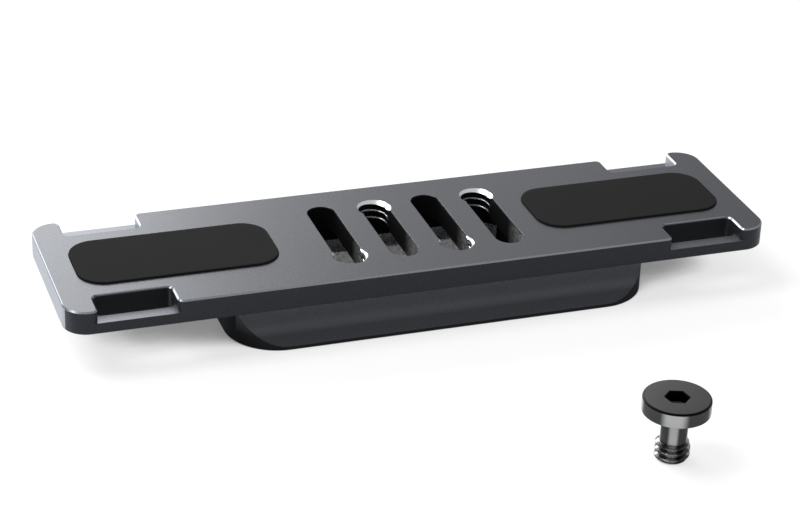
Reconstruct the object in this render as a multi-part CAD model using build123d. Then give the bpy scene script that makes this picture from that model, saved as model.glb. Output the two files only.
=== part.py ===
from build123d import *
import math
import os

# Camera plate: a long machined plate with a dovetail rail under it, two rubber pads and its camera screw.
# X runs along the plate, Y across it and Z up. The origin is under the middle of the plate, on the
# surface that the rail stands on. All sizes are in millimetres.

# Plate
PLATE_LENGTH = 143.2
PLATE_WIDTH = 38.0
PLATE_THICKNESS = 4.75
PLATE_CORNER_RADIUS = 4.6
TOP_CHAMFER = 0.3
BOTTOM_CHAMFER = 0.2

# Dovetail rail, one piece with the plate
RAIL_LENGTH = 86.8
RAIL_WIDTH = 38.0
RAIL_HEIGHT = 8.95
RAIL_OFFSET = 4.3
RAIL_CORNER_RADIUS = 10.5
RAIL_LIP = 0.8
RAIL_ANGLE = 45.0
RAIL_WALL = 0.9

# Strap gaps in the four corners, each with a low bar outside it
STRAP_LENGTH = 15.2
STRAP_FROM_END = 6.0
STRAP_GAP = 3.6
STRAP_RADIUS = 1.2
BAR_WIDTH = 2.7
BAR_DROP = 2.5

# Cross slots for the camera screw, each with one tapped end
SLOT_COUNT = 4
SLOT_PITCH = 11.0
SLOT_GROUP_X = 2.4
SLOT_WIDTH = 5.6
SLOT_REACH = 12.4
SLOT_CHAMFER = 0.15
TAP_DIAMETER = 6.4
TAP_REACH = 9.4
TAP_COUNTERSINK = 0.37

# Pocket under the slots, spreading out below behind the rail's flanks
POCKET_MARGIN = 0.3
POCKET_RADIUS = 6.0
FLANK_WALL = 1.3

# Rubber pads, each set in a shallow recess between the slots and the plate's end
PAD_START = 27.0
PAD_FROM_END = 5.1
PAD_WIDTH = 17.8
PAD_RADIUS = 5.3
PAD_RECESS = 0.6
PAD_STAND = 0.38
PAD_CLEARANCE = 0.1
PAD_EDGE = 0.12

# Camera screw, standing on its tip beside the plate
SCREW_X = 26.1
SCREW_Y = -73.6
HEAD_DIAMETER = 12.4
HEAD_HEIGHT = 2.85
HEAD_CHAMFER = 0.35
HEX_SIZE = 4.0
HEX_DEPTH = 2.0
HEX_TURN = -18.7
NECK_DIAMETER = 5.0
NECK_LENGTH = 5.7
SHOULDER_LENGTH = 0.5
THREAD_DIAMETER = 6.35
THREAD_LENGTH = 3.4
TIP_CHAMFER = 0.5
NECK_FILLET = 0.3

# Worked out from the sizes above
TOP = RAIL_HEIGHT + PLATE_THICKNESS
BAR_TOP = TOP - BAR_DROP
NOTCH_DEPTH = STRAP_GAP + BAR_WIDTH
STRAP_CENTRE = PLATE_LENGTH / 2 - STRAP_FROM_END - STRAP_LENGTH / 2
PAD_LENGTH = PLATE_LENGTH / 2 - PAD_FROM_END - PAD_START
PAD_CENTRE = PAD_START + PAD_LENGTH / 2
POCKET_HALF_WIDTH = SLOT_REACH + POCKET_MARGIN
POCKET_LENGTH = (SLOT_COUNT - 1) * SLOT_PITCH + HEAD_DIAMETER + 2 * POCKET_MARGIN
ROOT_HALF_WIDTH = POCKET_HALF_WIDTH + RAIL_WALL
OVERCUT = 1.0


def slab(sketch, low, high):
    """Extrude a sketch between two heights."""
    return extrude(Pos(0, 0, low) * sketch, amount=high - low)


def top_edges(solid, height):
    """Edges that lie flat at one height."""
    return solid.edges().filter_by(lambda edge: abs(edge.bounding_box().min.Z - height) < 1e-4
                                   and abs(edge.bounding_box().max.Z - height) < 1e-4)


def strap_places():
    """Centre of each corner's strap opening along X, and the side of the plate that it is on."""
    return [(end * STRAP_CENTRE, side) for end in (-1, 1) for side in (-1, 1)]


def plate_upper():
    """Upper layer of the plate: the outline with a bite above each strap gap and bar."""
    outline = RectangleRounded(PLATE_LENGTH, PLATE_WIDTH, PLATE_CORNER_RADIUS)
    bite_centre = PLATE_WIDTH / 2 - NOTCH_DEPTH / 2 + OVERCUT / 2
    for x, side in strap_places():
        outline -= Pos(x, side * bite_centre) * Rectangle(STRAP_LENGTH, NOTCH_DEPTH + OVERCUT)
    ends = (STRAP_CENTRE - STRAP_LENGTH / 2, STRAP_CENTRE + STRAP_LENGTH / 2)
    corners = outline.vertices().filter_by(lambda v: min(abs(abs(v.X) - end) for end in ends) < 1e-4)
    layer = slab(fillet(corners, STRAP_RADIUS), BAR_TOP, TOP)
    return chamfer(top_edges(layer, TOP), TOP_CHAMFER)


def plate_lower():
    """Lower layer of the plate: the outline with a through gap inside each strap bar."""
    outline = RectangleRounded(PLATE_LENGTH, PLATE_WIDTH, PLATE_CORNER_RADIUS)
    gap_centre = PLATE_WIDTH / 2 - BAR_WIDTH - STRAP_GAP / 2
    for x, side in strap_places():
        outline -= Pos(x, side * gap_centre) * RectangleRounded(STRAP_LENGTH, STRAP_GAP, STRAP_RADIUS)
    layer = slab(outline, RAIL_HEIGHT, BAR_TOP)
    return chamfer(top_edges(layer, RAIL_HEIGHT), BOTTOM_CHAMFER)


def rail():
    """Dovetail rail: round-ended in plan, with both long sides undercut above a thin lip."""
    outline = RectangleRounded(RAIL_LENGTH, RAIL_WIDTH, RAIL_CORNER_RADIUS)
    block = chamfer(top_edges(slab(outline, 0, RAIL_HEIGHT), 0), BOTTOM_CHAMFER)
    undercut = RAIL_WIDTH / 2 - ROOT_HALF_WIDTH
    slope_top = RAIL_LIP + undercut / math.tan(math.radians(RAIL_ANGLE))
    edge = RAIL_WIDTH / 2
    for side in (-1, 1):
        points = [
            (side * (edge + OVERCUT), RAIL_LIP),
            (side * edge, RAIL_LIP),
            (side * ROOT_HALF_WIDTH, slope_top),
            (side * ROOT_HALF_WIDTH, RAIL_HEIGHT),
            (side * (edge + OVERCUT), RAIL_HEIGHT),
        ]
        profile = make_face(Plane.YZ * Polyline(*points, close=True))
        block -= extrude(profile, amount=RAIL_LENGTH, both=True)
    return Pos(RAIL_OFFSET, 0, 0) * block


def slot_centres():
    """Centre of each slot along X, and the side that its tapped end is on."""
    first = SLOT_GROUP_X - (SLOT_COUNT - 1) * SLOT_PITCH / 2
    return [(first + i * SLOT_PITCH, -1 if i % 2 == 0 else 1) for i in range(SLOT_COUNT)]


def slot_cutter(x, side):
    """One slot with its chamfered mouth, and the tapped hole with its countersink at one end."""
    plain_end = SLOT_REACH - SLOT_WIDTH / 2
    middle = -side * (plain_end - TAP_REACH) / 2
    spacing = plain_end + TAP_REACH
    place = Pos(x, middle) * Rot(0, 0, 90)
    web_low = RAIL_HEIGHT - OVERCUT
    cutter = slab(place * SlotCenterToCenter(spacing, SLOT_WIDTH), web_low, TOP + OVERCUT)
    mouth_low = Pos(0, 0, TOP - SLOT_CHAMFER) * place * SlotCenterToCenter(spacing, SLOT_WIDTH)
    mouth_high = Pos(0, 0, TOP) * place * SlotCenterToCenter(spacing, SLOT_WIDTH + 2 * SLOT_CHAMFER)
    cutter += loft([mouth_low, mouth_high])
    tap = Pos(x, side * TAP_REACH)
    cutter += slab(tap * Circle(TAP_DIAMETER / 2), web_low, TOP + OVERCUT)
    sink = Cone(TAP_DIAMETER / 2, TAP_DIAMETER / 2 + TAP_COUNTERSINK, TAP_COUNTERSINK)
    return cutter + Pos(x, side * TAP_REACH, TOP - TAP_COUNTERSINK / 2) * sink


def pocket_cutter():
    """Open pocket under the slots. Its lower sides run behind the flanks and leave them an even wall."""
    foot = RAIL_WIDTH / 2 - FLANK_WALL
    spread_top = RAIL_LIP + (foot - POCKET_HALF_WIDTH) / math.tan(math.radians(RAIL_ANGLE))
    points = [
        (-foot, -OVERCUT),
        (foot, -OVERCUT),
        (foot, RAIL_LIP),
        (POCKET_HALF_WIDTH, spread_top),
        (-POCKET_HALF_WIDTH, spread_top),
        (-foot, RAIL_LIP),
    ]
    profile = make_face(Plane.YZ * Polyline(*points, close=True))
    upper = RectangleRounded(POCKET_LENGTH, 2 * POCKET_HALF_WIDTH, POCKET_RADIUS)
    lower = RectangleRounded(POCKET_LENGTH, 2 * foot, POCKET_RADIUS)
    spread = extrude(profile, amount=POCKET_LENGTH, both=True) & slab(lower, -OVERCUT, spread_top)
    return Pos(SLOT_GROUP_X, 0, 0) * (slab(upper, -OVERCUT, RAIL_HEIGHT) + spread)


def pad_outline(clearance):
    """Rounded outline of a pad, grown by a clearance for its recess."""
    return RectangleRounded(PAD_LENGTH + 2 * clearance, PAD_WIDTH + 2 * clearance, PAD_RADIUS + clearance)


def plate_body():
    """The whole machined plate."""
    body = plate_lower() + plate_upper() + rail()
    body -= pocket_cutter()
    for x, side in slot_centres():
        body -= slot_cutter(x, side)
    recess = slab(pad_outline(PAD_CLEARANCE), TOP - PAD_RECESS, TOP + OVERCUT)
    for end in (-1, 1):
        body -= Pos(end * PAD_CENTRE, 0, 0) * recess
    return body


def pad(end):
    """One rubber pad, seated on its recess floor and standing just proud of the plate."""
    block = slab(pad_outline(0), TOP - PAD_RECESS, TOP + PAD_STAND)
    return Pos(end * PAD_CENTRE, 0, 0) * fillet(top_edges(block, TOP + PAD_STAND), PAD_EDGE)


def camera_screw():
    """Turned screw: thread at the bottom, slimmer neck, round head with a hexagon socket."""
    thread_top = THREAD_LENGTH
    neck_low = thread_top + SHOULDER_LENGTH
    head_low = neck_low + NECK_LENGTH
    head_top = head_low + HEAD_HEIGHT
    tip_radius = THREAD_DIAMETER / 2 - TIP_CHAMFER
    points = [
        (0, 0),
        (tip_radius, 0),
        (THREAD_DIAMETER / 2, TIP_CHAMFER),
        (THREAD_DIAMETER / 2, thread_top),
        (NECK_DIAMETER / 2, neck_low),
        (NECK_DIAMETER / 2, head_low - NECK_FILLET),
        (NECK_DIAMETER / 2 + NECK_FILLET, head_low),
        (HEAD_DIAMETER / 2 - BOTTOM_CHAMFER, head_low),
        (HEAD_DIAMETER / 2, head_low + BOTTOM_CHAMFER),
        (HEAD_DIAMETER / 2, head_top - HEAD_CHAMFER),
        (HEAD_DIAMETER / 2 - HEAD_CHAMFER, head_top),
        (0, head_top),
    ]
    profile = make_face(Plane.XZ * Polyline(*points, close=True))
    screw = revolve(profile, axis=Axis.Z)
    socket = Rot(0, 0, HEX_TURN) * RegularPolygon(HEX_SIZE / 2, 6, major_radius=False)
    screw -= slab(socket, head_top - HEX_DEPTH, head_top + OVERCUT)
    return Pos(SCREW_X, SCREW_Y, 0) * screw


nodes = {
    "plate_body": plate_body(),
    "left_pad": pad(-1),
    "right_pad": pad(1),
    "camera_screw": camera_screw(),
}
os.makedirs("parts", exist_ok=True)
for name, shape in nodes.items():
    export_step(shape, f"parts/{name}.step")
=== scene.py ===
import math

import bpy
import numpy as np
from mathutils import Matrix, Vector


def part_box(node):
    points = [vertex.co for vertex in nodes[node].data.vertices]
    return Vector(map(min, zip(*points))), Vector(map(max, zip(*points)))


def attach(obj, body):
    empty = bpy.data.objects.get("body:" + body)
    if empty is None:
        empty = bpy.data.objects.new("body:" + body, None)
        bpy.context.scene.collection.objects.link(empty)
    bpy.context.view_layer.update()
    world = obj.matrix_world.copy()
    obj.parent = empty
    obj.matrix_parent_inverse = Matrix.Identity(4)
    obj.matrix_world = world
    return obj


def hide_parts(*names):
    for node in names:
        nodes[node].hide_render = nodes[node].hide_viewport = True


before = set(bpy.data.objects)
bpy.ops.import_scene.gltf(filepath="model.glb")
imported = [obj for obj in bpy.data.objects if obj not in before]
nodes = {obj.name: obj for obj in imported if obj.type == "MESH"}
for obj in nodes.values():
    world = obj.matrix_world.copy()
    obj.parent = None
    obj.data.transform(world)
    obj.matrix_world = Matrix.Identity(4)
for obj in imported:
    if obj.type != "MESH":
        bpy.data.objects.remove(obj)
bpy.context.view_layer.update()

# The imported part, in metres, with its origin under the middle of the plate.
MM = 0.001


# Plate: one bar of aluminium, milled to its outline with the dovetail rail, slots, pocket and strap
# bars, then glass-bead blasted and anodised dark grey. The blasting leaves a fine, even satin grain,
# and the thin oxide keeps the metal's sheen under a dark tint.
ANODISED_GREY = "#313235"
ANODISED_SHADE = "#2c2d30"
# A painted highlight on the chamfers and the strap bars' tops.
CHAMFER_HIGHLIGHT_GREY = "#7c7f84"
# Painted shade in the slots and on the rail's and strap gaps' upright walls.
SHADE_BLACK = "#0b0b0c"
# Painted light on the rail's flanks, lighter higher up.
FLANK_PAINTED_LIGHT = "#969a9f"
# Painted light from the floor, on the pocket's slopes and low in the slots' near ends.
FLOOR_LIGHT_GREY = "#f0f0f0"
# Bare metal, and also painted reflections on the end faces and the back notch walls.
BARE_METAL_AND_GLINT = "#c3c5c8"
SHEEN_TINT = "#e8edf6"
PLATE_METALLIC = 0.3
SATIN_LOW, SATIN_HIGH = 0.24, 0.33
WALL_ROUGHNESS, BARE_ROUGHNESS = 0.6, 0.3
PLATE_SHEEN, WALL_SHEEN = 0.42, 0.06
BEAD_GRAIN = 0.25 * MM
TINT_PATCH = 14.0 * MM
SPECKLE_SIZE = 0.5 * MM
GRAIN_RELIEF, GRAIN_HEIGHT = 0.07, 0.02 * MM
# The chamfers' painted highlight reaches this far down and this far out. The two ends' chamfers are left
# without it.
CHAMFER_DEPTH = 0.35 * MM
END_EDGE = 71.42 * MM
# How much of each zone's painted light or shade shows, from 0 to 1, and where it fades in along the wall or
# up it.
BAR_HIGHLIGHT_SHARE = 0.3
NOTCH_SHADE_SHARE = 0.65
RAIL_SHADE_SHARE = 0.6
NEAR_END_LIGHT_SHARE = 0.35
NOTCH_GLINT_SHARE = 0.7
END_GLINT_SHARE = 0.75
SPECKLE_LOW, SPECKLE_HIGH, SPECKLE_LEAST = 0.38, 0.62, 0.2
FLANK_DARK, FLANK_LIGHT = 2.5 * MM, 7.5 * MM
NEAR_END_BEGINS, NEAR_END_FULL = -2 * MM, -11 * MM
# Zones, from their lowest to their highest corner. A folded one is read from |x|, |y| and |z|, so that it
# stands for all four corners of the plate.
SLOTS = np.array([(-20.8, -13.1, -1), (25.6, 13.1, 13.69)]) * MM
POCKET_BACK = np.array([(-20.8, 12.75, -1), (25.6, 18.9, 5.9)]) * MM
POCKET_FRONT = np.array([(-20.8, -18.9, -1), (25.6, -12.75, 5.9)]) * MM
BACK_NOTCHES = np.array([(-68, 12.9, 9.2), (68, 20, 14.2)]) * MM
FOLDED_NOTCH_WALLS = np.array([(50.5, 12.55, -1), (65.3, 12.85, 13.69)]) * MM
FOLDED_FLANKS = np.array([(-1, 13.2, 0.9), (60, 20, 8.9)]) * MM
FOLDED_RAIL_WALLS = np.array([(-1, -1, -1), (60, 20, 8.9)]) * MM
FOLDED_BAR_TOPS = np.array([(48, 15, 11.1), (68, 20, 11.3)]) * MM
FOLDED_END_FACES = np.array([(71.3, -1, 8.9), (72, 20, 13.4)]) * MM
# The ways that a face looks, as zones of its normal. Endways is folded.
LEFTWARD = (-2, -2, -0.3), (-0.5, 2, 0.3)
LEANING = (-2, -2, 0.3), (2, 2, 0.95)
UPRIGHT = (-2, -2, -0.3), (2, 2, 0.3)
UPWARD = (-0.4, -0.4, 0.9), (0.4, 0.4, 1.1)
UPRIGHT_OR_UNDER = (-2, -2, -2), (2, 2, 0.3)
FOLDED_ENDWAYS = (0.9, -1, -1), (2, 1, 1)


def linear(colour):
    """Turn an sRGB hex colour into linear values: c / 12.92 up to 0.04045, and above it
    ((c + 0.055) / 1.055) ^ 2.4."""
    value = np.array([int(colour[i:i + 2], 16) / 255 for i in (1, 3, 5)])
    curve = np.where(value <= 0.04045, value / 12.92, ((value + 0.055) / 1.055) ** 2.4)
    return (*curve.tolist(), 1.0)


def add(tree, kind, inputs=None, **settings):
    """Add a node with its settings. An input is named, or numbered among those in use. It takes a value, a
    hex colour, another node's output, or a node, which stands for its first output in use."""
    made = tree.nodes.new(kind)
    for name, value in settings.items():
        setattr(made, name, value)
    used = [socket for socket in made.inputs if socket.enabled]
    for key, value in (inputs or {}).items():
        socket = used[key] if isinstance(key, int) else next(each for each in used if each.name == key)
        if isinstance(value, bpy.types.Node):
            value = next(output for output in value.outputs if output.enabled)
        if isinstance(value, bpy.types.NodeSocket):
            tree.links.new(value, socket)
        else:
            socket.default_value = linear(value) if isinstance(value, str) else value
    return made


def new_material(name):
    """Return an empty node material and its tree."""
    material = bpy.data.materials.new(name)
    material.use_nodes = True
    material.node_tree.nodes.clear()
    return material, material.node_tree


def zone(tree, vector, low, high):
    """1 where a vector lies in the box from low to high, else 0: each |vector - middle| / half size is
    below 1, so the largest of the three is."""
    low, high = np.array(low), np.array(high)
    apart = add(tree, "ShaderNodeVectorMath", {0: vector, 1: (low + high) / 2}, operation="SUBTRACT")
    share = add(tree, "ShaderNodeVectorMath", {0: apart, 1: (high - low) / 2}, operation="DIVIDE")
    away = add(tree, "ShaderNodeVectorMath", {0: share}, operation="ABSOLUTE")
    axes = add(tree, "ShaderNodeSeparateXYZ", {0: away}).outputs
    most = add(tree, "ShaderNodeMath", {0: axes["X"], 1: axes["Y"]}, operation="MAXIMUM")
    most = add(tree, "ShaderNodeMath", {0: most, 1: axes["Z"]}, operation="MAXIMUM")
    return add(tree, "ShaderNodeMath", {0: most, 1: 1.0}, operation="LESS_THAN")


def anodised_aluminium(top):
    """Anodised aluminium, glass-bead blasted: dark grey, satin, with a fine grain and faint clouding. Its
    chamfers and the strap bars' tops are painted lighter as painted highlight, and the end faces and the
    left-facing back notch walls take bare metal's colour in part, as painted reflections. The slots' walls
    are painted black and matt as shade, with a pale speckle of painted light from the floor at their near
    ends and on the pocket's slopes. The strap gaps' long walls and the rail's upright walls are partly
    painted black as shade, and the rail's flanks are painted lighter higher up, as painted light. Where the
    attribute "cut" is 1, as on the countersinks and the thread's crests, bare metal shows."""
    material, tree = new_material("anodised_aluminium")
    place = add(tree, "ShaderNodeTexCoord").outputs["Object"]
    normal = add(tree, "ShaderNodeNewGeometry").outputs["Normal"]
    at = add(tree, "ShaderNodeSeparateXYZ", {0: place}).outputs
    folded = add(tree, "ShaderNodeVectorMath", {0: place}, operation="ABSOLUTE")
    folded_normal = add(tree, "ShaderNodeVectorMath", {0: normal}, operation="ABSOLUTE")
    leftward = zone(tree, normal, *LEFTWARD)
    slots = zone(tree, place, *SLOTS)

    # The blasted and dyed surface, with faint clouding.
    grain = add(tree, "ShaderNodeTexNoise", {"Vector": place, "Scale": 1 / BEAD_GRAIN, "Detail": 2.0})
    cloud = add(tree, "ShaderNodeTexNoise", {"Vector": place, "Scale": 1 / TINT_PATCH, "Detail": 3.0})
    colour = add(tree, "ShaderNodeMix", {"Factor": cloud, "A": ANODISED_GREY, "B": ANODISED_SHADE},
                 data_type="RGBA")

    # Painted light: the flanks are painted lighter from their foot to their root.
    higher = add(tree, "ShaderNodeMapRange", {
        "Value": at["Z"], "From Min": FLANK_DARK, "From Max": FLANK_LIGHT})
    flanks = zone(tree, folded, *FOLDED_FLANKS)
    flanks = add(tree, "ShaderNodeMath", {0: higher, 1: flanks}, operation="MULTIPLY")
    colour = add(tree, "ShaderNodeMix", {"Factor": flanks, "A": colour, "B": FLANK_PAINTED_LIGHT}, data_type="RGBA")

    # Painted highlight: the chamfers round the top face and the tops of the strap bars are painted lighter.
    top_layer = zone(tree, place, (-END_EDGE, -1, top - CHAMFER_DEPTH), (END_EDGE, 1, top + MM))
    leaning = zone(tree, normal, *LEANING)
    chamfers = add(tree, "ShaderNodeMath", {0: top_layer, 1: leaning}, operation="MULTIPLY")
    upward = zone(tree, normal, *UPWARD)
    bars = zone(tree, folded, *FOLDED_BAR_TOPS)
    bars = add(tree, "ShaderNodeMath", {0: bars, 1: upward}, operation="MULTIPLY")
    bars = add(tree, "ShaderNodeMath", {0: bars, 1: BAR_HIGHLIGHT_SHARE}, operation="MULTIPLY")
    chamfers = add(tree, "ShaderNodeMath", {0: chamfers, 1: bars}, operation="MAXIMUM")
    colour = add(tree, "ShaderNodeMix", {"Factor": chamfers, "A": colour, "B": CHAMFER_HIGHLIGHT_GREY},
                 data_type="RGBA")

    # Painted shade: black inside the slots, and part of it on the strap gaps' long walls and the rail's
    # upright walls.
    notches = zone(tree, folded, *FOLDED_NOTCH_WALLS)
    notches = add(tree, "ShaderNodeMath", {0: notches, 1: NOTCH_SHADE_SHARE}, operation="MULTIPLY")
    rail = zone(tree, folded, *FOLDED_RAIL_WALLS)
    upright = zone(tree, normal, *UPRIGHT)
    rail = add(tree, "ShaderNodeMath", {0: rail, 1: upright}, operation="MULTIPLY")
    rail = add(tree, "ShaderNodeMath", {0: rail, 1: RAIL_SHADE_SHARE}, operation="MULTIPLY")
    walls = add(tree, "ShaderNodeMath", {0: slots, 1: notches}, operation="MAXIMUM")
    walls = add(tree, "ShaderNodeMath", {0: walls, 1: rail}, operation="MAXIMUM")
    colour = add(tree, "ShaderNodeMix", {"Factor": walls, "A": colour, "B": SHADE_BLACK}, data_type="RGBA")

    # Painted light from the floor below: a pale speckle on the pocket's slopes, and low in the near ends of
    # the slots.
    pocket_back = zone(tree, place, *POCKET_BACK)
    pocket_front = zone(tree, place, *POCKET_FRONT)
    pocket = add(tree, "ShaderNodeMath", {0: pocket_back, 1: pocket_front}, operation="MAXIMUM")
    facing = zone(tree, normal, *UPRIGHT_OR_UNDER)
    pocket = add(tree, "ShaderNodeMath", {0: pocket, 1: facing}, operation="MULTIPLY")
    near_end = add(tree, "ShaderNodeMapRange", {
        "Value": at["Y"], "From Min": NEAR_END_BEGINS, "From Max": NEAR_END_FULL, "To Max": NEAR_END_LIGHT_SHARE})
    near_end = add(tree, "ShaderNodeMath", {0: near_end, 1: slots}, operation="MULTIPLY")
    near_end = add(tree, "ShaderNodeMath", {0: near_end, 1: leftward}, operation="MULTIPLY")
    speckle = add(tree, "ShaderNodeTexNoise", {"Vector": place, "Scale": 1 / SPECKLE_SIZE, "Detail": 2.0})
    speckle = add(tree, "ShaderNodeMapRange", {
        "Value": speckle, "From Min": SPECKLE_LOW, "From Max": SPECKLE_HIGH, "To Min": SPECKLE_LEAST})
    floor_light = add(tree, "ShaderNodeMath", {0: pocket, 1: near_end}, operation="MAXIMUM")
    floor_light = add(tree, "ShaderNodeMath", {0: floor_light, 1: speckle}, operation="MULTIPLY")
    colour = add(tree, "ShaderNodeMix", {"Factor": floor_light, "A": colour, "B": FLOOR_LIGHT_GREY}, data_type="RGBA")

    # Bare metal on what was cut after anodising. Its colour is also painted, in part, on the end faces and
    # the left-facing back notch walls, as painted reflections.
    cut = add(tree, "ShaderNodeAttribute", attribute_name="cut").outputs["Fac"]
    notch_glint = zone(tree, place, *BACK_NOTCHES)
    notch_glint = add(tree, "ShaderNodeMath", {0: notch_glint, 1: leftward}, operation="MULTIPLY")
    notch_glint = add(tree, "ShaderNodeMath", {0: notch_glint, 1: NOTCH_GLINT_SHARE}, operation="MULTIPLY")
    ends = zone(tree, folded, *FOLDED_END_FACES)
    endways = zone(tree, folded_normal, *FOLDED_ENDWAYS)
    ends = add(tree, "ShaderNodeMath", {0: ends, 1: endways}, operation="MULTIPLY")
    ends = add(tree, "ShaderNodeMath", {0: ends, 1: END_GLINT_SHARE}, operation="MULTIPLY")
    # From here cut holds the painted reflections as well as the bare metal.
    cut = add(tree, "ShaderNodeMath", {0: cut, 1: notch_glint}, operation="MAXIMUM")
    cut = add(tree, "ShaderNodeMath", {0: cut, 1: ends}, operation="MAXIMUM")
    colour = add(tree, "ShaderNodeMix", {"Factor": cut, "A": colour, "B": BARE_METAL_AND_GLINT}, data_type="RGBA")

    # A thin oxide over metal: partly metallic, wholly where it is bare, on the painted highlights and on the
    # painted reflections, and not at all on the walls painted black as shade.
    bright = add(tree, "ShaderNodeMath", {0: cut, 1: chamfers}, operation="MAXIMUM")
    metallic = add(tree, "ShaderNodeMapRange", {"Value": bright, "To Min": PLATE_METALLIC})
    metallic = add(tree, "ShaderNodeMath", {0: metallic, 1: walls}, operation="SUBTRACT")
    metallic = add(tree, "ShaderNodeMath", {0: metallic, 1: cut}, operation="MAXIMUM")
    satin = add(tree, "ShaderNodeMapRange", {"Value": grain, "To Min": SATIN_LOW, "To Max": SATIN_HIGH})
    rough = add(tree, "ShaderNodeMix", {"Factor": walls, "A": satin, "B": WALL_ROUGHNESS})
    rough = add(tree, "ShaderNodeMix", {"Factor": cut, "A": rough, "B": BARE_ROUGHNESS})
    sheen = add(tree, "ShaderNodeMix", {"Factor": walls, "A": PLATE_SHEEN, "B": WALL_SHEEN})
    bump = add(tree, "ShaderNodeBump", {
        "Height": grain, "Strength": GRAIN_RELIEF, "Distance": GRAIN_HEIGHT})
    shader = add(tree, "ShaderNodeBsdfPrincipled", {
        "Base Color": colour, "Metallic": metallic, "Roughness": rough, "Normal": bump,
        "Specular IOR Level": sheen, "Specular Tint": SHEEN_TINT})
    add(tree, "ShaderNodeOutputMaterial", {"Surface": shader})
    return material


plate_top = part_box("plate_body")[1].z
anodised = anodised_aluminium(plate_top)
plate = nodes["plate_body"]
plate.data.materials.clear()
plate.data.materials.append(anodised)


# Tapped slot ends: a quarter-inch camera thread cut in the wall of each slot's wide end, with a
# countersunk mouth, and anodised with the plate. The slot opens part of the wall, so each turn is an
# arc and not a ring. The turns are drawn a little coarser than twenty to the inch, so that they show.
TAP_PITCH = 1.55 * MM
SLOT_X = (-14.1 * MM, -3.1 * MM, 7.9 * MM, 18.9 * MM)
SLOT_HALF_WIDTH = 2.77 * MM
TAP_Y = 9.4 * MM
TAP_RADIUS = 3.12 * MM
CREST_RADIUS = 2.72 * MM
CREST_HALF_WIDTH = 0.09 * MM
FLANK_SLOPE = 1.75
FIRST_CREST = 1.95 * MM
MOUTH_RADIUS = 3.49 * MM
MOUTH_DROP = 0.005 * MM
WALL_DEPTH = 4.74 * MM
SKIN = 0.08 * MM
WALL_STEPS = 121
UNDERCUT_SHARE = 0.35
BARE_STRIPS = (0, 1, 2, 3, 8, 9, 13, 14)


def grid_faces(rows, columns):
    """Quads of a grid of rows x columns points, with the last column joined to the first."""
    i, j = np.meshgrid(np.arange(rows - 1), np.arange(columns), indexing="ij")
    i, j = i.ravel(), j.ravel()
    k = (j + 1) % columns
    return np.stack([i * columns + j, (i + 1) * columns + j, (i + 1) * columns + k, i * columns + k], 1)


def mesh_piece(name, points, faces, material, sharp):
    """Make a mesh object at the origin that rides with the part. It is smooth, but for its edges that turn
    by more than the angle sharp, in degrees."""
    mesh = bpy.data.meshes.new(name)
    mesh.from_pydata(points.reshape(-1, 3).tolist(), [], faces)
    mesh.update()
    mesh.materials.append(material)
    mesh.polygons.foreach_set("use_smooth", np.full(len(mesh.polygons), True))
    mesh.set_sharp_from_angle(angle=math.radians(sharp))
    piece = bpy.data.objects.new(name, mesh)
    bpy.context.scene.collection.objects.link(piece)
    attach(piece, "root")
    return piece


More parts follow.
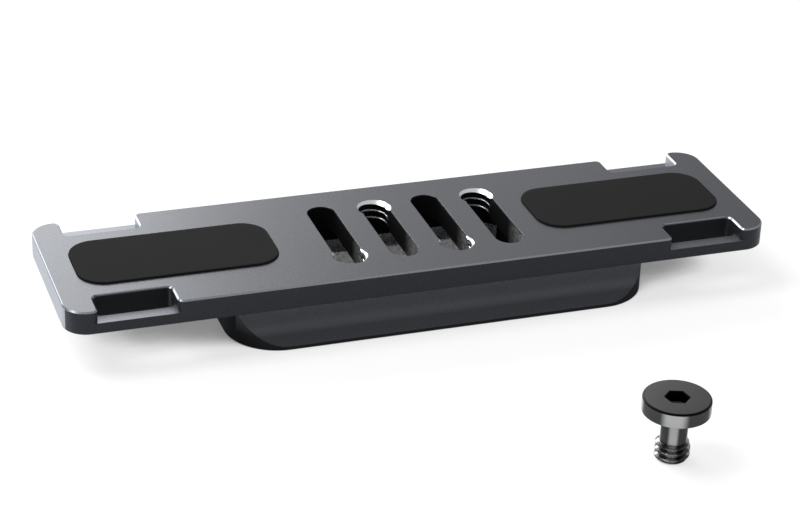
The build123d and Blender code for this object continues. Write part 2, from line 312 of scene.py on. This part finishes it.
def tapped_wall(name, centre_x, side):
    """Wall of a tapped end, as radius over angle a and depth d. Each crest's depth is
    c = FIRST_CREST - pitch * (1 + a / turn), plus whole pitches. The radius is TAP_RADIUS less a ridge round
    each crest, the cone MOUTH_RADIUS - d where that is larger, and past the slot's corners at least the
    slot's side, SLOT_HALF_WIDTH / |sin(a)|. Rows lie on the ridges' and the cone's edges, so those stay
    sharp. A skin behind the wall, in the plate, closes the ring."""
    ridge_depth = TAP_RADIUS - CREST_RADIUS
    flank = ridge_depth / FLANK_SLOPE
    share = np.linspace(-1, 1, WALL_STEPS)[:, None]
    a = share * (math.pi - math.asin(SLOT_HALF_WIDTH / TAP_RADIUS))
    c = FIRST_CREST - TAP_PITCH * (1 + a / (2 * math.pi))
    slot_side = SLOT_HALF_WIDTH / np.maximum(np.abs(np.sin(a)), 0.5)
    side_radius = np.where(np.abs(a) > math.pi / 2, slot_side, CREST_RADIUS)
    meet = (MOUTH_RADIUS - CREST_RADIUS + FLANK_SLOPE * (c + CREST_HALF_WIDTH)) / (1 + FLANK_SLOPE)
    cone_end = np.clip(meet, MOUTH_RADIUS - TAP_RADIUS, MOUTH_RADIUS - side_radius)
    marks = [np.full_like(a, MOUTH_DROP), cone_end * 0.25, cone_end * 0.5, cone_end * 0.75, cone_end]
    crest_end = c + CREST_HALF_WIDTH
    marks += [np.maximum(cone_end, crest_end), np.maximum(cone_end, crest_end + flank)]
    for turn in (1, 2):
        crest = c + turn * TAP_PITCH
        marks += [crest - CREST_HALF_WIDTH - flank, crest - CREST_HALF_WIDTH - UNDERCUT_SHARE * flank]
        marks += [crest - CREST_HALF_WIDTH, crest + CREST_HALF_WIDTH, crest + CREST_HALF_WIDTH + flank]
    d = np.concatenate(marks + [np.full_like(a, WALL_DEPTH)], 1)
    off = np.abs(np.mod(d - c + TAP_PITCH / 2, TAP_PITCH) - TAP_PITCH / 2)
    ridge = np.clip(ridge_depth - FLANK_SLOPE * np.clip(off - CREST_HALF_WIDTH, 0, None), 0, None)
    ridge[:, -1] = 0
    wide = np.maximum(TAP_RADIUS, MOUTH_RADIUS - d)
    a = share * (math.pi - np.arcsin(SLOT_HALF_WIDTH / wide))
    radius = np.maximum(np.maximum(TAP_RADIUS - ridge, MOUTH_RADIUS - d), side_radius)
    radius = np.concatenate([radius, wide[:, ::-1] + SKIN], 1)
    a = np.concatenate([a, a[:, ::-1]], 1)
    depth = np.concatenate([d, d[:, ::-1]], 1)
    angle = side * math.pi / 2 + a
    x = centre_x + radius * np.cos(angle)
    y = side * TAP_Y + radius * np.sin(angle)
    points = np.stack([x, y, plate_top - depth], 2)
    rows, columns = radius.shape
    caps = [list(range(columns)), list(range((rows - 1) * columns, rows * columns))[::-1]]
    faces = grid_faces(rows, columns).tolist() + caps
    piece = mesh_piece(name, points, faces, anodised, 30)
    strip = np.tile(np.arange(columns), rows - 1)
    bare = np.isin(strip, BARE_STRIPS).astype(float)
    bare = np.concatenate([bare, np.zeros(2)])
    piece.data.attributes.new("cut", "FLOAT", "FACE").data.foreach_set("value", bare)
    return piece


for number, slot_x in enumerate(SLOT_X):
    tapped_wall(f"tapped_wall_{number + 1}", slot_x, -1 if number % 2 == 0 else 1)


# Rubber pads: two thin black pads, moulded with a soft rounded rim and a faint mould texture, and
# bonded into their recesses so that they stand just proud of the plate and grip the camera's base.
PAD_COLOUR = "#1d1d1d"
PAD_DUST = "#212121"
PAD_RADIUS = 5.3 * MM
PAD_RIM = 0.12 * MM
# Rows of points on the flat top, by their distance in from the pad's edge.
PAD_INSETS = (0.9 * MM, 2.5 * MM, PAD_RADIUS - 0.01 * MM)
PAD_TEXTURE = 0.35 * MM
PAD_RELIEF, PAD_HEIGHT = 0.35, 0.03 * MM
PAD_SMOOTH, PAD_ROUGH = 0.78, 0.92
PAD_SHEEN = 0.04
CORNER_STEPS = 13
RIM_STEPS = 7


def moulded_rubber():
    """Moulded rubber: matt, nearly black, with a fine etched mould texture and a little sheen."""
    material, tree = new_material("moulded_rubber")
    place = add(tree, "ShaderNodeTexCoord").outputs["Object"]
    etch = add(tree, "ShaderNodeTexNoise", {"Vector": place, "Scale": 1 / PAD_TEXTURE, "Detail": 3.0})
    dust = add(tree, "ShaderNodeTexNoise", {"Vector": place, "Scale": 1 / TINT_PATCH, "Detail": 4.0})
    shade = add(tree, "ShaderNodeMix", {"Factor": dust, "A": PAD_COLOUR, "B": PAD_DUST}, data_type="RGBA")
    rough = add(tree, "ShaderNodeMapRange", {"Value": etch, "To Min": PAD_SMOOTH, "To Max": PAD_ROUGH})
    bump = add(tree, "ShaderNodeBump", {"Height": etch, "Strength": PAD_RELIEF, "Distance": PAD_HEIGHT})
    shader = add(tree, "ShaderNodeBsdfPrincipled", {
        "Base Color": shade, "Roughness": rough, "Normal": bump, "Specular IOR Level": PAD_SHEEN})
    add(tree, "ShaderNodeOutputMaterial", {"Surface": shader})
    return material


def pad_surface(name, node):
    """Rounded rectangle, inset row by row: a straight wall, a quarter-round rim and a flat top. A point's
    place is the corner's centre plus (PAD_RADIUS - inset) along the corner's angle."""
    low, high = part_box(node)
    centre = (low + high) / 2
    half = (high - low) / 2
    quarter = np.linspace(0, math.pi / 2, CORNER_STEPS)
    angle = np.concatenate([quarter + k * math.pi / 2 for k in range(4)])
    corner_x = np.repeat([1, -1, -1, 1], CORNER_STEPS)
    corner_y = np.repeat([1, 1, -1, -1], CORNER_STEPS)
    rim = np.linspace(0, math.pi / 2, RIM_STEPS)
    inset = np.concatenate([[0], PAD_RIM * (1 - np.cos(rim)), PAD_INSETS])
    flat = np.full(len(PAD_INSETS), high.z)
    height = np.concatenate([[low.z], high.z - PAD_RIM * (1 - np.sin(rim)), flat])
    radius = PAD_RADIUS - inset[:, None]
    x = centre.x + corner_x * (half.x - PAD_RADIUS) + radius * np.cos(angle)
    y = centre.y + corner_y * (half.y - PAD_RADIUS) + radius * np.sin(angle)
    z = np.repeat(height[:, None], len(angle), 1)
    points = np.stack([x, y, z], 2)
    count = len(angle)
    caps = [list(range((len(inset) - 1) * count, len(inset) * count)), list(range(count))[::-1]]
    faces = grid_faces(len(inset), count)[:, ::-1].tolist() + caps
    piece = mesh_piece(name, points, faces, rubber, 40)
    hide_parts(node)
    return piece


rubber = moulded_rubber()
pad_surface("left_rubber_pad", "left_pad")
pad_surface("right_rubber_pad", "right_pad")


# Camera screw: turned from steel bar and blackened. Its head has a faced top with a broached hexagon
# socket and a rolled edge, the neck is turned smooth to run in a slot, and the thread is cut.
SCREW_SIDE = "#4e4e4e"
# Painted highlight: the light bands round the head's side, the neck and the thread, and where they stand
# round the axis.
SCREW_HIGHLIGHT = "#c6c6c4"
THREAD_HIGHLIGHT = "#8c8c8a"
HIGHLIGHT_TURN = 0.724
HIGHLIGHT_BANDS = 4
HIGHLIGHT_BEGINS, HIGHLIGHT_FULL = -0.25, 0.8
SHEEN_STRETCH = 0.6
QUARTER_TURN = 0.25
RING_LOW, RING_HIGH = 0.75, 1.25
SIDE_ROUGHNESS, THREAD_ROUGHNESS, TOP_ROUGHNESS = 0.52, 0.24, 0.5
SCREW_TOP = "#434343"
SCREW_THREAD = "#3c3c3c"
# Painted shade: the black of the socket and the rolled edge.
SCREW_BLACK = "#0e0e0e"
HEAD_RADIUS = 6.2 * MM
HEAD_HEIGHT = 2.85 * MM
HEAD_CHAMFER = 0.35 * MM
HEX_SIZE = 4.0 * MM
HEX_DEPTH = 2.0 * MM
HEX_TURN = math.radians(-18.7)
NECK_RADIUS = 2.5 * MM
THREAD_RADIUS = 3.175 * MM
THREAD_PITCH = 1.27 * MM
THREAD_LENGTH = 3.4 * MM
SHOULDER_LENGTH = 0.5 * MM
TIP_CHAMFER = 0.5 * MM
SCREW_THREAD_DEPTH = 0.7 * MM
THREAD_ROOT = 0.06 * MM
THREAD_FLAT = 1.25
THREAD_SLOPE = 3.0
HEAD_FILLET = 0.2 * MM
NECK_FILLET = 0.3 * MM
HEX_CHAMFER = 0.12 * MM
DRILL_POINT = 0.9 * MM
# The drill point's rim and tip, as shares of the hexagon's radius.
DRILL_START, DRILL_END = 0.9, 0.02
AXIS_GAP = 0.001 * MM
TURNING_MARK = 0.12 * MM
TURNED_RELIEF, TURNED_HEIGHT = 0.2, 0.01 * MM
COLUMNS = 96
THREAD_ROWS = 79
FILLET_ROWS = 5
ROLLED_ROWS = 6


def turned_steel():
    """Blackened steel, turned, with the black worn thin where the tool left its rings. The side of the head
    and the neck have four axial bands of painted highlight, the thread fainter ones, and the lamps' sheen on
    the side and the neck stretches along the axis. The faced top is dark and matt. The rolled edge and the
    socket are painted black as shade, with a lighter painted gleam on the drill point, and the thread is
    polished dark. Masks are on its faces."""
    material, tree = new_material("turned_steel")
    place = add(tree, "ShaderNodeTexCoord").outputs["Object"]
    height = add(tree, "ShaderNodeSeparateXYZ", {0: place}).outputs["Z"]
    rings = add(tree, "ShaderNodeTexNoise", {"W": height, "Scale": 1 / TURNING_MARK}, noise_dimensions="1D")
    rings = add(tree, "ShaderNodeMapRange", {"Value": rings, "To Min": RING_LOW, "To Max": RING_HIGH})
    grain = add(tree, "ShaderNodeTexNoise", {"Vector": place, "Scale": 1 / BEAD_GRAIN, "Detail": 2.0})
    top = add(tree, "ShaderNodeAttribute", attribute_name="top").outputs["Fac"]
    black = add(tree, "ShaderNodeAttribute", attribute_name="black").outputs["Fac"]
    thread = add(tree, "ShaderNodeAttribute", attribute_name="thread").outputs["Fac"]

    lathe = add(tree, "ShaderNodeUVMap", uv_map="lathe")
    around = add(tree, "ShaderNodeSeparateXYZ", {0: lathe}).outputs["X"]
    wave = 2 * math.pi * HIGHLIGHT_BANDS
    turned = add(tree, "ShaderNodeMath", {0: around, 1: wave, 2: -wave * HIGHLIGHT_TURN},
                 operation="MULTIPLY_ADD")
    turned = add(tree, "ShaderNodeMath", {0: turned}, operation="COSINE")
    highlight_band = add(tree, "ShaderNodeMapRange", {
        "Value": turned, "From Min": HIGHLIGHT_BEGINS, "From Max": HIGHLIGHT_FULL}, interpolation_type="SMOOTHSTEP")
    side = add(tree, "ShaderNodeMix", {"Factor": highlight_band, "A": SCREW_SIDE, "B": SCREW_HIGHLIGHT}, data_type="RGBA")
    cut = add(tree, "ShaderNodeMix", {"Factor": highlight_band, "A": SCREW_THREAD, "B": THREAD_HIGHLIGHT},
              data_type="RGBA")
    colour = add(tree, "ShaderNodeMix", {"Factor": thread, "A": side, "B": cut}, data_type="RGBA")
    colour = add(tree, "ShaderNodeMix", {"Factor": 1.0, "A": colour, "B": rings}, data_type="RGBA",
                 blend_type="MULTIPLY")
    colour = add(tree, "ShaderNodeMix", {"Factor": top, "A": colour, "B": SCREW_TOP}, data_type="RGBA")
    colour = add(tree, "ShaderNodeMix", {"Factor": black, "A": colour, "B": SCREW_BLACK}, data_type="RGBA")

    rough = add(tree, "ShaderNodeMix", {"Factor": thread, "A": SIDE_ROUGHNESS, "B": THREAD_ROUGHNESS})
    rough = add(tree, "ShaderNodeMix", {"Factor": top, "A": rough, "B": TOP_ROUGHNESS})
    plain = add(tree, "ShaderNodeMath", {0: thread, 1: top}, operation="MAXIMUM")
    plain = add(tree, "ShaderNodeMath", {0: plain, 1: black}, operation="MAXIMUM")
    stretch = add(tree, "ShaderNodeMix", {"Factor": plain, "A": SHEEN_STRETCH, "B": 0.0})
    bump = add(tree, "ShaderNodeBump", {
        "Height": grain, "Strength": TURNED_RELIEF, "Distance": TURNED_HEIGHT})
    tangent = add(tree, "ShaderNodeTangent", direction_type="UV_MAP", uv_map="lathe")
    shader = add(tree, "ShaderNodeBsdfPrincipled", {
        "Base Color": colour, "Metallic": 1.0, "Roughness": rough, "Normal": bump,
        "Anisotropic": stretch, "Anisotropic Rotation": QUARTER_TURN, "Tangent": tangent})
    add(tree, "ShaderNodeOutputMaterial", {"Surface": shader})
    return material


def screw_surface(name, node):
    """Lathe profile carried round the axis, from the tip up to the head and down into the socket. In the
    thread the radius drops by SCREW_THREAD_DEPTH times a V, THREAD_FLAT - THREAD_SLOPE * |along - 0.5| held
    from 0 to 1, where along is (z / pitch - angle / turn) modulo 1. The socket's radius at an angle is the
    hexagon's, half its width / cos(angle from the nearest flat)."""
    turn = HEX_TURN + np.linspace(0, 2 * math.pi, COLUMNS + 1)[:-1]
    head_low = screw_high.z - HEAD_HEIGHT
    neck_low = THREAD_LENGTH + SHOULDER_LENGTH
    thread_z = np.linspace(0, neck_low, THREAD_ROWS)
    tip = THREAD_RADIUS - TIP_CHAMFER
    outer = np.interp(thread_z, [0, TIP_CHAMFER, THREAD_LENGTH, neck_low],
                      [tip, THREAD_RADIUS, THREAD_RADIUS, NECK_RADIUS])
    along = np.mod(thread_z[:, None] / THREAD_PITCH - turn[None, :] / (2 * math.pi), 1)
    groove = np.clip(THREAD_FLAT - np.abs(along - 0.5) * THREAD_SLOPE, 0, 1) * SCREW_THREAD_DEPTH
    thread = np.clip(outer[:, None] - groove, NECK_RADIUS - THREAD_ROOT, None)
    thread[0] = np.minimum(thread[0], tip)
    fillet = np.linspace(0, math.pi / 2, FILLET_ROWS)
    rolled = np.linspace(0, math.pi / 2, ROLLED_ROWS)
    side_radius = np.concatenate([
        NECK_RADIUS + NECK_FILLET * (1 - np.cos(fillet)),
        HEAD_RADIUS - HEAD_FILLET * (1 - np.sin(fillet)),
        HEAD_RADIUS - HEAD_CHAMFER * (1 - np.cos(rolled))])
    side_height = np.concatenate([
        head_low - NECK_FILLET * (1 - np.sin(fillet)),
        head_low + HEAD_FILLET * (1 - np.cos(fillet)),
        screw_high.z - HEAD_CHAMFER * (1 - np.sin(rolled))])
    from_flat = np.mod(turn - HEX_TURN, math.pi / 3) - math.pi / 6
    hexagon = HEX_SIZE / 2 / np.cos(from_flat)
    socket_radius = [hexagon + HEX_CHAMFER, hexagon, hexagon, hexagon * DRILL_START, hexagon * DRILL_END]
    socket_drop = [0, HEX_CHAMFER, HEX_DEPTH, HEX_DEPTH, HEX_DEPTH + DRILL_POINT]
    side = np.repeat(side_radius[:, None], COLUMNS, 1)
    radius = np.concatenate([np.full((1, COLUMNS), AXIS_GAP), thread, side, socket_radius])
    level = np.concatenate([[0], thread_z, side_height, screw_high.z - np.array(socket_drop)])
    z = np.repeat(level[:, None], COLUMNS, 1)
    x = screw_centre.x + radius * np.cos(turn)
    y = screw_centre.y + radius * np.sin(turn)
    points = np.stack([x, y, z], 2)
    count = len(radius)
    caps = [list(range(COLUMNS)), list(range((count - 1) * COLUMNS, count * COLUMNS))[::-1]]
    faces = grid_faces(count, COLUMNS)[:, ::-1].tolist() + caps
    piece = mesh_piece(name, points, faces, steel, 32)

    # The strips of faces between two rows, numbered from the tip, and the finish that each one has.
    strip = np.append(np.repeat(np.arange(count - 1), COLUMNS), (0, count))
    socket = count - len(socket_radius)
    face_ring = socket - 1
    drill_point = count - 2
    rolled_edge = (strip >= socket - ROLLED_ROWS) & (strip < face_ring)
    # The socket and the rolled edge are painted black as shade, and the drill point takes the top's lighter
    # grey as a painted gleam.
    masks = {
        "thread": strip < THREAD_ROWS,
        "top": (strip == face_ring) | (strip == drill_point),
        "black": (strip >= socket) & (strip != drill_point) | rolled_edge}
    for finish, mask in masks.items():
        piece.data.attributes.new(finish, "FLOAT", "FACE").data.foreach_set("value", mask.astype(float))

    # The map "lathe" runs once round the axis and once up it, for the painted highlight bands and the
    # stretch of the sheen.
    corner = np.empty(len(piece.data.loops), int)
    piece.data.loops.foreach_get("vertex_index", corner)
    row, column = corner // COLUMNS, corner % COLUMNS
    last_column = np.repeat(np.tile(np.arange(COLUMNS), count - 1), 4) == COLUMNS - 1
    wrap = np.zeros(len(corner))
    wrap[:len(last_column)] = last_column & (column[:len(last_column)] == 0)
    uv = np.stack([column / COLUMNS + wrap, level[row] / screw_high.z], 1)
    piece.data.uv_layers.new(name="lathe").data.foreach_set("uv", uv.ravel())
    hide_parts(node)
    return piece


screw_low, screw_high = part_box("camera_screw")
screw_centre = (screw_low + screw_high) / 2
steel = turned_steel()
screw_surface("turned_camera_screw", "camera_screw")


# Studio: a plain pale floor under soft light. A tall panel stands behind on the left with two dimmer
# strips beside it, a soft box hangs above on the left, and a low fill stands in front. The room gives an
# even dim light, and the camera sees it white.
FLOOR_HALF = 2.5
FLOOR_PALE = "#c4c6c8"
FLOOR_SEEN = "#9a9a9a"
# What the floor gives off to the camera, and under the pocket, in a speckle from dark to clear.
FLOOR_LIFT = 0.7
POCKET_LIFT = 0.2
POCKET_DARK, POCKET_CLEAR = 0.35, 0.65
# The contact shadow: how far off the part is felt, the ambient occlusion where the shadow is deepest and
# where it ends, and the share of the lift that is left in its depth.
CONTACT_REACH = 20 * MM
CONTACT_DARK, CONTACT_CLEAR = 0.19, 0.34
CONTACT_LEAST = 0.28
ROOM_LIGHT = 0.38
# What metal mirrors of the room: its front side and its back side, with a soft turn between them.
ROOM_FRONT, ROOM_BACK, ROOM_TURN = 0.9, 0.8, 0.3
UNDER_POCKET = np.array([(-22.1, -18.2, -1), (26.9, 18.2, 1)]) * MM
LEFT_FLOOR = np.array([(-2500, -20, -1), (-68, 2500, 1)]) * MM
BACK_FLOOR = np.array([(-2500, 27, -1), (2500, 2500, 1)]) * MM


def floor_material():
    """Matt floor, near white to the camera with its shadows kept, and also near white in what the part
    mirrors from beside and behind it. The lift toward white falls where the part covers much of the room
    within CONTACT_REACH, so the shadow is dark close under it. Under the pocket only a little speckled light
    is left."""
    material, tree = new_material("pale_floor")
    rays = add(tree, "ShaderNodeLightPath").outputs
    place = add(tree, "ShaderNodeTexCoord").outputs["Object"]
    pocket = zone(tree, place, *UNDER_POCKET)
    left = zone(tree, place, *LEFT_FLOOR)
    back = zone(tree, place, *BACK_FLOOR)
    around = add(tree, "ShaderNodeMath", {0: left, 1: back}, operation="MAXIMUM")
    mirrored = add(tree, "ShaderNodeMath", {0: rays["Is Glossy Ray"], 1: around}, operation="MULTIPLY")
    seen = add(tree, "ShaderNodeMath", {0: rays["Is Camera Ray"], 1: mirrored}, operation="MAXIMUM")
    contact = add(tree, "ShaderNodeAmbientOcclusion", {"Distance": CONTACT_REACH}, samples=32).outputs["AO"]
    contact = add(tree, "ShaderNodeMapRange", {
        "Value": contact, "From Min": CONTACT_DARK, "From Max": CONTACT_CLEAR, "To Min": CONTACT_LEAST})
    lift = add(tree, "ShaderNodeMath", {0: seen, 1: contact}, operation="MULTIPLY")
    lift = add(tree, "ShaderNodeMath", {0: lift, 1: FLOOR_LIFT}, operation="MULTIPLY")
    speckle = add(tree, "ShaderNodeTexNoise", {"Vector": place, "Scale": 1 / SPECKLE_SIZE, "Detail": 2.0})
    speckle = add(tree, "ShaderNodeMapRange", {
        "Value": speckle, "From Min": POCKET_DARK, "From Max": POCKET_CLEAR, "To Max": POCKET_LIFT})
    dim = add(tree, "ShaderNodeMath", {0: speckle, 1: rays["Is Camera Ray"]}, operation="MULTIPLY")
    strength = add(tree, "ShaderNodeMix", {"Factor": pocket, "A": lift, "B": dim})
    white = add(tree, "ShaderNodeEmission", {"Color": (1, 1, 1, 1), "Strength": strength})
    share = add(tree, "ShaderNodeMath", {0: seen, 1: pocket}, operation="SUBTRACT", use_clamp=True)
    colour = add(tree, "ShaderNodeMix", {"Factor": share, "A": FLOOR_PALE, "B": FLOOR_SEEN},
                 data_type="RGBA")
    diffuse = add(tree, "ShaderNodeBsdfDiffuse", {"Color": colour})
    both = add(tree, "ShaderNodeAddShader", {0: diffuse, 1: white})
    add(tree, "ShaderNodeOutputMaterial", {"Surface": both})
    return material


corners = np.array([[-1, -1, 0], [1, -1, 0], [1, 1, 0], [-1, 1, 0]]) * FLOOR_HALF
floor_mesh = bpy.data.meshes.new("floor")
floor_mesh.from_pydata(corners.tolist(), [], [(0, 1, 2, 3)])
floor_mesh.materials.append(floor_material())
floor = bpy.data.objects.new("floor", floor_mesh)
bpy.context.scene.collection.objects.link(floor)


def area_light(name, place, target, size, radiance):
    """Rectangular soft light turned to face a target, with its power set from the radiance of its face."""
    lamp = bpy.data.lights.new(name, "AREA")
    lamp.shape = "RECTANGLE"
    lamp.size, lamp.size_y = size
    lamp.energy = radiance * math.pi * size[0] * size[1]
    holder = bpy.data.objects.new(name, lamp)
    holder.location = place
    holder.rotation_euler = (Vector(target) - Vector(place)).to_track_quat("-Z", "Y").to_euler()
    bpy.context.scene.collection.objects.link(holder)


area_light("back_panel", (-0.26, 0.9, 0.46), (-0.26, 0, 0.46), (0.84, 0.88), 5.8)
area_light("side_panel", (0.215, 0.9, 0.46), (0.215, 0, 0.46), (0.11, 0.88), 1.5)
area_light("edge_panel", (0.38, 0.9, 0.46), (0.38, 0, 0.46), (0.22, 0.88), 0.6)
area_light("key_softbox", (-0.42, 0.08, 0.68), (0, 0, 0), (0.34, 0.44), 9.0)
area_light("front_fill", (0.1, -1.1, 0.3), (0, 0, 0), (1.4, 0.3), 1.2)

world = bpy.data.worlds.new("studio")
bpy.context.scene.world = world
world.use_nodes = True
sky = world.node_tree
sky.nodes.clear()
rays = add(sky, "ShaderNodeLightPath").outputs
way = add(sky, "ShaderNodeTexCoord").outputs["Generated"]
toward = add(sky, "ShaderNodeSeparateXYZ", {0: way}).outputs["Y"]
mirrored = add(sky, "ShaderNodeMapRange", {
    "Value": toward, "From Min": -ROOM_TURN, "From Max": ROOM_TURN,
    "To Min": ROOM_FRONT, "To Max": ROOM_BACK})
level = add(sky, "ShaderNodeMix", {"Factor": rays["Is Glossy Ray"], "A": ROOM_LIGHT, "B": mirrored})
clear = add(sky, "ShaderNodeMath", {0: rays["Is Camera Ray"], 1: rays["Is Transmission Ray"]},
            operation="MAXIMUM")
level = add(sky, "ShaderNodeMix", {"Factor": clear, "A": level, "B": 1.0})
light = add(sky, "ShaderNodeBackground", {"Color": (1, 1, 1, 1), "Strength": level})
add(sky, "ShaderNodeOutputWorld", {"Surface": light})


# Camera: a long lens from the front left and above, at the photograph's viewing angle. Its focal
# length is given in pixels of an image 800 pixels wide, and its sensor in millimetres.
CAMERA_PLACE = (-138.95 * MM, -386.87 * MM, 219.19 * MM)
CAMERA_AZIMUTH = 19.70
CAMERA_TILT = 27.333
CAMERA_ROLL = 2.241
FOCAL_PIXELS = 2308.2
IMAGE_WIDTH = 800
SENSOR_WIDTH = 36.0
NEAREST = 0.01

azimuth, tilt, roll = (math.radians(a) for a in (CAMERA_AZIMUTH, CAMERA_TILT, CAMERA_ROLL))
forward = Vector((math.sin(azimuth) * math.cos(tilt), math.cos(azimuth) * math.cos(tilt), -math.sin(tilt)))
level_right = forward.cross(Vector((0, 0, 1))).normalized()
level_up = level_right.cross(forward)
right = level_right * math.cos(roll) + level_up * math.sin(roll)
up = level_up * math.cos(roll) - level_right * math.sin(roll)
lens = bpy.data.cameras.new("camera")
lens.sensor_width = SENSOR_WIDTH
lens.lens = FOCAL_PIXELS / IMAGE_WIDTH * lens.sensor_width
lens.clip_start = NEAREST
camera = bpy.data.objects.new("camera", lens)
camera.matrix_world = Matrix.Translation(CAMERA_PLACE) @ Matrix((right, up, -forward)).transposed().to_4x4()
bpy.context.scene.collection.objects.link(camera)
bpy.context.scene.camera = camera
bpy.context.scene.view_settings.view_transform = "Standard"
